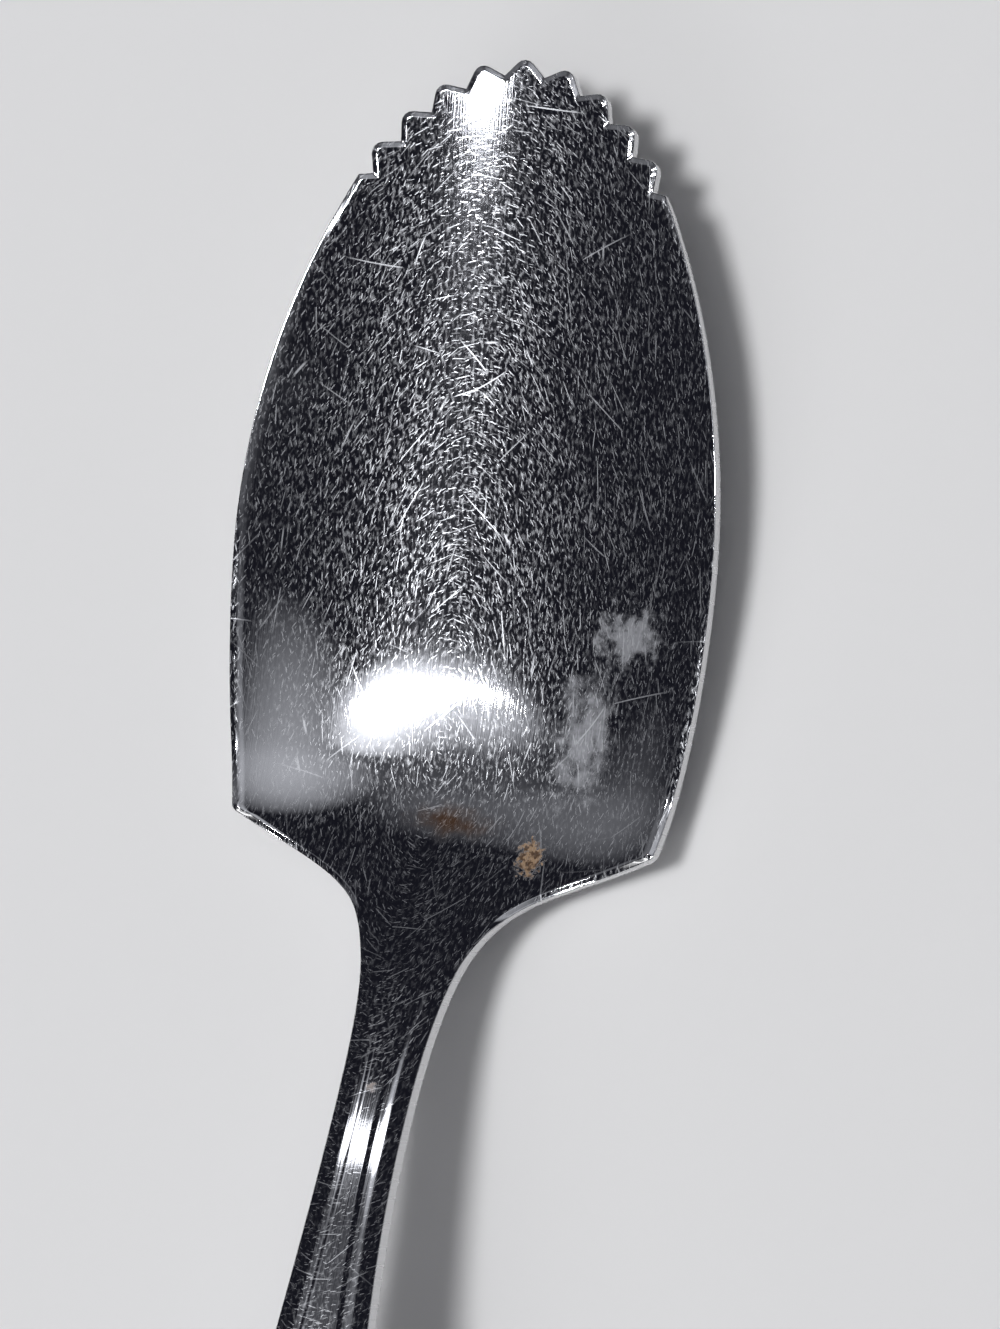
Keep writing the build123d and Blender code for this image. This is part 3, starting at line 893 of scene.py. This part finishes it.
def press_tree(values):
    """Geometry nodes that press a flat blank to the spoon's shape."""
    tree = bpy.data.node_groups.new("spoon_press", "GeometryNodeTree")
    tree.interface.new_socket("Geometry", in_out="OUTPUT", socket_type="NodeSocketGeometry")
    tree.interface.new_socket("Geometry", in_out="INPUT", socket_type="NodeSocketGeometry")
    for name in values:
        tree.interface.new_socket(name, in_out="INPUT", socket_type="NodeSocketFloat")
    tree.interface.new_socket("Steel", in_out="INPUT", socket_type="NodeSocketMaterial")
    source = tree.nodes.new("NodeGroupInput")
    wires = {name: Wire(tree, source.outputs[name]) for name in values}

    def attribute(name):
        node = tree.nodes.new("GeometryNodeInputNamedAttribute")
        node.data_type = "FLOAT"
        node.inputs["Name"].default_value = name
        return Wire(tree, node.outputs["Attribute"])

    position = tree.nodes.new("GeometryNodeInputPosition")
    x, y, _ = split(tree, Wire(tree, position.outputs[0]))
    station = wires["Tip"] - y
    dish = hollow_height(wires, x, station)
    edge = bar_edge_height(wires, station)
    fade = station.eased(wires["Narrowest Station"], wires["Overall Length"])
    before_neck = (wires["Neck Start"] - station).at_least(0.0)

    # Upper face of the neck and handle
    slope_up = smooth_min(attribute("edge_inside") / wires["Border Bevel"], 1.0, BEVEL_BLEND)
    crown = edge + (wires["Neck Crown"] + (wires["End Crown"] - wires["Neck Crown"]) * fade) * slope_up

    # The border rises out of the heel; the hollow runs on between its two sides as the sunk panel
    border = station.eased(wires["Border Start"], wires["Border End"]) * wires["Panel Depth"]
    sunk = attribute("panel_inside").eased(wires["Panel Bevel"] * -0.5, wires["Panel Bevel"] * 0.5)
    upper = smooth_min(dish + border, crown + before_neck * CROWN_LIFT, wires["Crease Blend"])
    upper = upper - border * sunk

    # Underside
    thickness = (station / wires["Lowest Station"]).between(0.0, 1.0)
    thickness = wires["Tip Thickness"] + (wires["Bowl Thickness"] - wires["Tip Thickness"]) * thickness
    bulge = 1.0 - attribute("across").squared()
    belly = (wires["Neck Belly"] + (wires["End Belly"] - wires["Neck Belly"]) * fade) * bulge
    bar = edge - wires["Edge Thickness"] - belly + before_neck * BAR_LIFT
    under = smooth_min(dish - thickness, bar, wires["Heel Blend"]).at_least(0.0)

    layer = attribute("layer")
    height = under + (upper - under) * layer - attribute("drop")
    press = tree.nodes.new("GeometryNodeSetPosition")
    tree.links.new(source.outputs["Geometry"], press.inputs["Geometry"])
    feed(tree, press.inputs["Offset"], join(tree, Z=height.at_least(0.0)))
    realize = tree.nodes.new("GeometryNodeRealizeInstances")
    tree.links.new(press.outputs[0], realize.inputs[0])
    finish = tree.nodes.new("GeometryNodeSetMaterial")
    tree.links.new(realize.outputs[0], finish.inputs["Geometry"])
    tree.links.new(source.outputs["Steel"], finish.inputs["Material"])
    sink = tree.nodes.new("NodeGroupOutput")
    tree.links.new(finish.outputs[0], sink.inputs[0])
    return tree


def shared_tree(plan):
    """The press, built once for all sections."""
    values = press_values(plan)
    tree = bpy.data.node_groups.get("spoon_press") or press_tree(values)
    return tree, values


def press_section(name, node, blank, plan, steel):
    """Press a blank, turn the result into a plain mesh and hang it on the frame in place of its CAD node."""
    tree, values = shared_tree(plan)
    piece = bpy.data.objects.new(name, blank)
    bpy.context.scene.collection.objects.link(piece)
    modifier = piece.modifiers.new("press", "NODES")
    modifier.node_group = tree
    for item in tree.interface.items_tree:
        if item.in_out == "INPUT" and item.name in values:
            modifier[item.identifier] = values[item.name]
        elif item.in_out == "INPUT" and item.name == "Steel":
            modifier[item.identifier] = steel
    graph = bpy.context.evaluated_depsgraph_get()
    pressed = piece.evaluated_get(graph)
    mesh = bpy.data.meshes.new_from_object(pressed, preserve_all_data_layers=True, depsgraph=graph)
    piece.modifiers.remove(modifier)
    piece.data = mesh
    bpy.data.meshes.remove(blank)
    mesh.name = name
    close_mesh(mesh)
    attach(piece, "root")
    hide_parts(node)


def close_mesh(mesh):
    """Turn the faces outwards, shade them smooth and keep the section planes sharp."""
    shell = bmesh.new()
    shell.from_mesh(mesh)
    section = shell.faces.layers.bool.get("section")
    bmesh.ops.recalc_face_normals(shell, faces=shell.faces)
    for face in shell.faces:
        face.smooth = not face[section]
    for edge in shell.edges:
        if len(edge.link_faces) != 2:
            raise RuntimeError(f"{mesh.name} is open along an edge")
        edge.smooth = not any(face[section] for face in edge.link_faces)
    shell.to_mesh(mesh)
    shell.free()


def new_group(name, values, output):
    """Shader node group that reads a place and named values; returns its tree and its inputs as wires."""
    tree = bpy.data.node_groups.new(name, "ShaderNodeTree")
    tree.interface.new_socket("Vector", in_out="INPUT", socket_type="NodeSocketVector")
    for socket, value in values.items():
        made = tree.interface.new_socket(socket, in_out="INPUT", socket_type="NodeSocketFloat")
        made.default_value = value
    tree.interface.new_socket(output, in_out="OUTPUT", socket_type="NodeSocketFloat")
    source = tree.nodes.new("NodeGroupInput")
    return tree, {socket: Wire(tree, source.outputs[socket]) for socket in ("Vector", *values)}


def end_group(tree, value):
    """Close a group with the value that it puts out."""
    feed(tree, tree.nodes.new("NodeGroupOutput").inputs[0], value)
    return tree


def place_group(tree, group, **values):
    """Put a group into a material, set its inputs and return what it puts out."""
    node = tree.nodes.new("ShaderNodeGroup")
    node.node_tree = group
    for key, value in values.items():
        feed(tree, node.inputs[key], value)
    return Wire(tree, node.outputs[0])


def flat_noise(tree, **values):
    """Noise in the plan."""
    node = tree.nodes.new("ShaderNodeTexNoise")
    node.noise_dimensions = "2D"
    for key, value in values.items():
        feed(tree, node.inputs[key], value)
    return Wire(tree, node.outputs[0])


def scratch_group():
    """One set of scratches: each cell of the surface holds one, turned, bent and cut at random."""
    tree, wires = new_group(
        "scratches",
        {
            "Seed": 0.0,
            "Cell": 2.0,
            "Length": 1.5,
            "Width": 0.05,
            "Bend": 0.1,
            "Share": 0.6,
            "Turn": 0.0,
            "Spread": 6.283,
            "Swirl": 0.0,
            "Swirl X": -1.7,
            "Swirl Y": 36.0,
            "Swirl Squash": 0.12,
        },
        "Line",
    )
    x, y, _ = split(tree, wires["Vector"])
    shift_x, shift_y = (wires["Seed"] * shift for shift in SEED_SHIFT)
    x, y = x + shift_x, y + shift_y
    cells = tree.nodes.new("ShaderNodeTexVoronoi")
    cells.voronoi_dimensions = "2D"
    feed(tree, cells.inputs["Vector"], join(tree, X=x, Y=y))
    feed(tree, cells.inputs["Scale"], wires["Cell"].math("POWER", -1.0))
    middle_x, middle_y, _ = split(tree, Wire(tree, cells.outputs["Position"]))
    chance = tree.nodes.new("ShaderNodeSeparateColor")
    tree.links.new(cells.outputs["Color"], chance.inputs[0])
    first, second, third = (Wire(tree, socket) for socket in chance.outputs)
    from_swirl_x = middle_x - shift_x - wires["Swirl X"]
    from_swirl_y = (middle_y - shift_y - wires["Swirl Y"]) * wires["Swirl Squash"]
    round_bowl = from_swirl_y.math("ARCTAN2", from_swirl_x)
    turn = wires["Turn"] + (first - 0.5) * wires["Spread"] + round_bowl * wires["Swirl"]
    cosine, sine = turn.math("COSINE"), turn.math("SINE")
    x, y = x - middle_x, y - middle_y
    along = x * cosine + y * sine
    aside = y * cosine - x * sine - along.squared() * (second - 0.5) * wires["Bend"]
    reach = wires["Length"] * (third * (LONGEST_REACH - SHORTEST_REACH) + SHORTEST_REACH)
    ends = 1.0 - (along.size() / reach).eased(FADE_START, 1.0)
    groove = (1.0 - (aside / wires["Width"]).squared()).at_least(0.0)
    depth = ((second + third) * DEPTH_SHUFFLE).math("FRACT")
    there = (1.0 - depth / wires["Share"]).at_least(0.0).squared()
    return end_group(tree, ends * groove * there)


def polish_group():
    """Polishing marks drawn out along the spoon."""
    defaults = {"Fineness": 12.0, "Reach": 4.0, "Low": 0.0, "High": 1.0}
    tree, wires = new_group("polish_marks", defaults, "Marks")
    x, y, _ = split(tree, wires["Vector"])
    drawn_out = join(tree, X=x * wires["Fineness"], Y=y / wires["Reach"])
    noise = flat_noise(tree, Vector=drawn_out, Scale=1.0, Detail=3.0)
    return end_group(tree, noise.eased(wires["Low"], wires["High"]))


def spot_group():
    """A ragged spot around a place: dried water, a speck, or the brown patch that paints a reflection in the
    heel.
    """
    tree, wires = new_group("ragged_spot", dict.fromkeys(SPOT_VALUES, 1.0), "Mask")
    x, y, _ = split(tree, wires["Vector"])
    x = (x - wires["X"]) / wires["Radius"]
    y = (y - wires["Y"]) / wires["Radius"] * wires["Squash"]
    scale = wires["Grain"].math("POWER", -1.0)
    noise = flat_noise(tree, Vector=wires["Vector"], Scale=scale, Detail=4.0, Roughness=0.6)
    ragged = (x.squared() + y.squared()).root() + (noise - 0.5) * wires["Raggedness"]
    return end_group(tree, 1.0 - ragged.eased(1.0 - wires["Softness"], 1.0))


def mix_colour(tree, share, first, second):
    """Mix of two colours."""
    node = tree.nodes.new("ShaderNodeMix")
    node.data_type = "RGBA"
    feed(tree, node.inputs[0], share)
    feed(tree, node.inputs[6], first)
    feed(tree, node.inputs[7], second)
    return Wire(tree, node.outputs[2])


def millimetres_on(tree):
    """Place on the spoon, in millimetres."""
    place = tree.nodes.new("ShaderNodeTexCoord")
    scale = tree.nodes.new("ShaderNodeVectorMath")
    scale.operation = "SCALE"
    scale.inputs["Scale"].default_value = 1 / MM
    tree.links.new(place.outputs["Object"], scale.inputs[0])
    return Wire(tree, scale.outputs[0])


def scratch_lines(tree, place):
    """All sets of scratches, the deepest at each place."""
    scratches = scratch_group()
    lines = None
    for seed, values in enumerate(SCRATCH_SETS):
        line = place_group(tree, scratches, Vector=place, Seed=float(seed), **values)
        lines = line if lines is None else lines.at_least(line)
    return lines


def spot_masks(tree, place):
    """Masks of the spots, on the upper face alone."""
    spot = spot_group()
    facing = tree.nodes.new("ShaderNodeNewGeometry")
    upward = split(tree, Wire(tree, facing.outputs["Normal"]))[2]
    upper_face = upward.eased(*UPPER_FACE)
    masks = {}
    for name, row in SPOTS.items():
        values = dict(zip(SPOT_VALUES, row))
        masks[name] = place_group(tree, spot, Vector=place, **values) * upper_face
    return masks


def worn_steel(finish):
    """Polished stainless steel, worn: polishing lines, many scratches, dried water and specks, with a
    painted brown reflection in the heel.
    """
    made = bpy.data.materials.get("worn_steel")
    if made:
        return made
    made = bpy.data.materials.new("worn_steel")
    made.use_nodes = True
    tree = made.node_tree
    tree.nodes.clear()
    place = millimetres_on(tree)
    lines = scratch_lines(tree, place)

    marks = polish_group()
    polish = place_group(tree, marks, Vector=place)
    speckle, patch, grains = (place_group(tree, marks, Vector=place, **values) for values in MARK_SETS)
    speckle = speckle * (patch * (1 - LEAST_SPECKLE) + LEAST_SPECKLE)

    spots = spot_masks(tree, place)
    haze = (spots["haze"] * (polish * HAZE_LINES + HAZE_EVEN)).at_least(spots["ring"] * RING_SHARE)
    rust = spots["rust"].at_least(spots["small_rust"] * SMALL_RUST_SHARE)
    # Brown patch low in the heel: a painted reflection of something brown
    painted_reflection = spots["painted_reflection"]

    shader = tree.nodes.new("ShaderNodeBsdfPrincipled")
    # The steel's colour turns brown where the reflection is painted, and rust lies over it
    base = mix_colour(tree, painted_reflection, (*finish.steel_colour, 1.0), (*finish.painted_reflection_colour, 1.0))
    stain = mix_colour(tree, grains, (*finish.rust_colour, 1.0), (*finish.dark_rust_colour, 1.0))
    feed(tree, shader.inputs["Base Color"], mix_colour(tree, rust, base, stain))
    # Wear dulls the mirror, and the painted reflection dulls it too
    dull = lines * LINE_DULL + speckle * SPECKLE_DULL + haze * HAZE_DULL + painted_reflection * PAINTED_REFLECTION_DULL
    dull = dull.at_most(MOST_DULL).at_least(rust * RUST_DULL)
    feed(tree, shader.inputs["Metallic"], 1.0 - dull)
    rough = polish * POLISH_ROUGH + haze * HAZE_ROUGH + rust * RUST_ROUGH + finish.polish_roughness
    feed(tree, shader.inputs["Roughness"], rough)
    feed(tree, shader.inputs["Coat Weight"], speckle * SPECKLE_SKIN + lines * LINE_SKIN)
    shader.inputs["Coat Roughness"].default_value = finish.scratch_roughness
    shader.inputs["Coat IOR"].default_value = finish.scratch_gloss
    bump = tree.nodes.new("ShaderNodeBump")
    bump.inputs["Strength"].default_value = 1.0
    bump.inputs["Distance"].default_value = finish.scratch_depth * MM
    feed(tree, bump.inputs["Height"], polish - lines * LINE_DEPTH)
    tree.links.new(bump.outputs["Normal"], shader.inputs["Normal"])
    output = tree.nodes.new("ShaderNodeOutputMaterial")
    tree.links.new(shader.outputs[0], output.inputs["Surface"])
    return made


def spoon_of(context):
    """Plan and steel from the scene's settings."""
    return Plan(context.scene.spoon_sizes), worn_steel(context.scene.steel_finish)


def columns_across(plan):
    """Places of the grid's columns as shares of the half width."""
    phase = plan.toothed_edge()[2]
    return phase / phase[-1]


class SPOON_OT_serrated_tip(bpy.types.Operator):
    """Add the toothed front of the bowl"""

    bl_idname = "spoon.serrated_tip"
    bl_label = "Serrated Tip"

    def execute(self, context):
        plan, steel = spoon_of(context)
        grid, sides, front = tip_rows(plan)
        blank = blank_mesh("tip_blank", plan, grid, sides, front=front)
        press_section("steel_serrated_tip", "serrated_tip", blank, plan, steel)
        return {"FINISHED"}


class SPOON_OT_bowl(bpy.types.Operator):
    """Add the bowl behind the teeth, with its shoulders and heel"""

    bl_idname = "spoon.bowl"
    bl_label = "Bowl"

    def execute(self, context):
        plan, steel = spoon_of(context)
        shoulder = (plan.sizes.bowl_length - SHOULDER_REACH, plan.neck_start)
        grid, sides = body_rows(plan, columns_across(plan), plan.tip_end, plan.neck_start, [shoulder])
        blank = blank_mesh("bowl_blank", plan, grid, sides)
        press_section("steel_bowl", "bowl", blank, plan, steel)
        return {"FINISHED"}


class SPOON_OT_neck(bpy.types.Operator):
    """Add the narrow neck that rises out of the heel"""

    bl_idname = "spoon.neck"
    bl_label = "Neck"

    def execute(self, context):
        plan, steel = spoon_of(context)
        stretch = (plan.neck_start, plan.narrowest_at)
        grid, sides = body_rows(plan, columns_across(plan), *stretch, [stretch])
        blank = blank_mesh("neck_blank", plan, grid, sides)
        press_section("steel_neck", "neck", blank, plan, steel)
        return {"FINISHED"}


class SPOON_OT_handle(bpy.types.Operator):
    """Add the handle with its sunk panel and rounded end"""

    bl_idname = "spoon.handle"
    bl_label = "Handle"

    def execute(self, context):
        plan, steel = spoon_of(context)
        across = columns_across(plan)
        grid, (out, way) = body_rows(plan, across, plan.narrowest_at, plan.handle_widest_at, [])
        end_grid, (end_out, end_way), back = end_rows(plan, across)
        grid = np.concatenate([grid, end_grid])
        sides = (np.concatenate([out, end_out]), np.concatenate([way, end_way]))
        blank = blank_mesh("handle_blank", plan, grid, sides, back=back)
        press_section("steel_handle", "handle", blank, plan, steel)
        return {"FINISHED"}


def tilted(tilt):
    """Direction tilted away from upright to the right and to the tip, in degrees."""
    return Vector((math.tan(math.radians(tilt[0])), math.tan(math.radians(tilt[1])), 1.0)).normalized()


def soft_lamp(name, lit, tilt, distance, size, power, lean):
    """Soft lamp for the lit pieces, or for all of them where none is named; lean widens its right end."""
    lamp = bpy.data.lights.new(name, "AREA")
    lamp.shape = "ELLIPSE"
    lamp.size, lamp.size_y = size
    lamp.energy = power
    if lit and lit != FLOOR:
        lamp.color = bpy.context.scene.spoon_studio.lamp_colour
    lamp.use_nodes = True
    tree = lamp.node_tree
    place = tree.nodes.new("ShaderNodeNewGeometry")
    x, y = (part * 2.0 - 1.0 for part in split(tree, Wire(tree, place.outputs["Parametric"]))[:2])
    taper = x * lean + 1.0
    soft = (1.0 - x.squared() - (y / taper).squared()).at_least(0.0) * taper
    feed(tree, tree.nodes["Emission"].inputs["Strength"], soft)
    rig = bpy.data.objects.new(name, lamp)
    way = tilted(tilt)
    rig.location = LAMP_AIM + way * distance
    up = way.cross(Vector((1.0, 0.0, 0.0))).normalized()
    rig.rotation_euler = Matrix((up.cross(way), up, way)).transposed().to_euler()
    bpy.context.scene.collection.objects.link(rig)
    if lit:
        rig.light_linking.receiver_collection = bpy.data.collections.new(name)
        for piece in lit:
            rig.light_linking.receiver_collection.objects.link(bpy.data.objects[piece])


def floor_material(studio):
    """Matt pale card."""
    made = bpy.data.materials.new("pale_card")
    made.use_nodes = True
    shader = made.node_tree.nodes["Principled BSDF"]
    shader.inputs["Base Color"].default_value = (*studio.floor_colour, 1.0)
    shader.inputs["Roughness"].default_value = CARD_ROUGHNESS
    shader.inputs["Specular IOR Level"].default_value = CARD_GLOSS
    return made


def dark_room(studio):
    """Dim surroundings with a pale low wall behind and to the right, which only the steel mirrors."""
    world = bpy.data.worlds.new("studio")
    world.use_nodes = True
    tree = world.node_tree
    way = tree.nodes.new("ShaderNodeTexCoord")
    right, ahead, height = split(tree, Wire(tree, way.outputs["Generated"]))
    path = tree.nodes.new("ShaderNodeLightPath")
    wall = (right - ahead).eased(*WALL_SIDE) * (1.0 - height.eased(studio.wall_full, studio.wall_top))
    seen = wall * Wire(tree, path.outputs["Is Glossy Ray"])
    room = mix_colour(tree, seen, (*studio.dark_colour, 1.0), (*studio.wall_colour, 1.0))
    feed(tree, tree.nodes["Background"].inputs["Color"], room)
    return world


class SPOON_OT_stage(bpy.types.Operator):
    """Add the floor, the lamps, the surrounding light and the camera"""

    bl_idname = "spoon.stage"
    bl_label = "Stage"

    def execute(self, context):
        studio = context.scene.spoon_studio
        bpy.ops.mesh.primitive_circle_add(
            vertices=FLOOR_CORNERS, radius=studio.floor_radius, fill_type="NGON"
        )
        floor = context.active_object
        floor.name = "floor"
        floor.data.materials.append(floor_material(studio))

        for name, values in LAMPS.items():
            soft_lamp(name, *values)
        context.scene.world = dark_room(studio)

        camera = bpy.data.cameras.new("camera")
        camera.sensor_width = SENSOR_WIDTH
        camera.lens = studio.camera_lens
        camera.clip_start = NEAREST_SEEN
        stand = bpy.data.objects.new("camera", camera)
        stand.location = studio.camera_place
        stand.rotation_euler = Euler(studio.camera_turn, "XYZ")
        context.scene.collection.objects.link(stand)
        context.scene.camera = stand
        context.scene.view_settings.view_transform = "Standard"
        return {"FINISHED"}


class SPOON_PT_panel(bpy.types.Panel):
    """Sizes of the spoon and the steps that build it"""

    bl_idname = "SPOON_PT_panel"
    bl_label = "Grapefruit Spoon"
    bl_space_type = "VIEW_3D"
    bl_region_type = "UI"
    bl_category = "Spoon"

    def draw(self, context):
        for step in STEPS:
            self.layout.operator(step.bl_idname)
        for group in (context.scene.spoon_sizes, context.scene.steel_finish, context.scene.spoon_studio):
            box = self.layout.box()
            for name in group.__annotations__:
                box.prop(group, name)


STEPS = (SPOON_OT_serrated_tip, SPOON_OT_bowl, SPOON_OT_neck, SPOON_OT_handle, SPOON_OT_stage)
CLASSES = (SpoonSizes, SteelFinish, StudioSet, *STEPS, SPOON_PT_panel)


def register():
    for made in CLASSES:
        bpy.utils.register_class(made)
    bpy.types.Scene.spoon_sizes = PointerProperty(type=SpoonSizes)
    bpy.types.Scene.steel_finish = PointerProperty(type=SteelFinish)
    bpy.types.Scene.spoon_studio = PointerProperty(type=StudioSet)


def unregister():
    del bpy.types.Scene.spoon_sizes, bpy.types.Scene.steel_finish, bpy.types.Scene.spoon_studio
    for made in reversed(CLASSES):
        bpy.utils.unregister_class(made)


def main():
    register()
    bpy.ops.spoon.serrated_tip()
    bpy.ops.spoon.bowl()
    bpy.ops.spoon.neck()
    bpy.ops.spoon.handle()
    bpy.ops.spoon.stage()


if __name__ == "__main__":
    main()
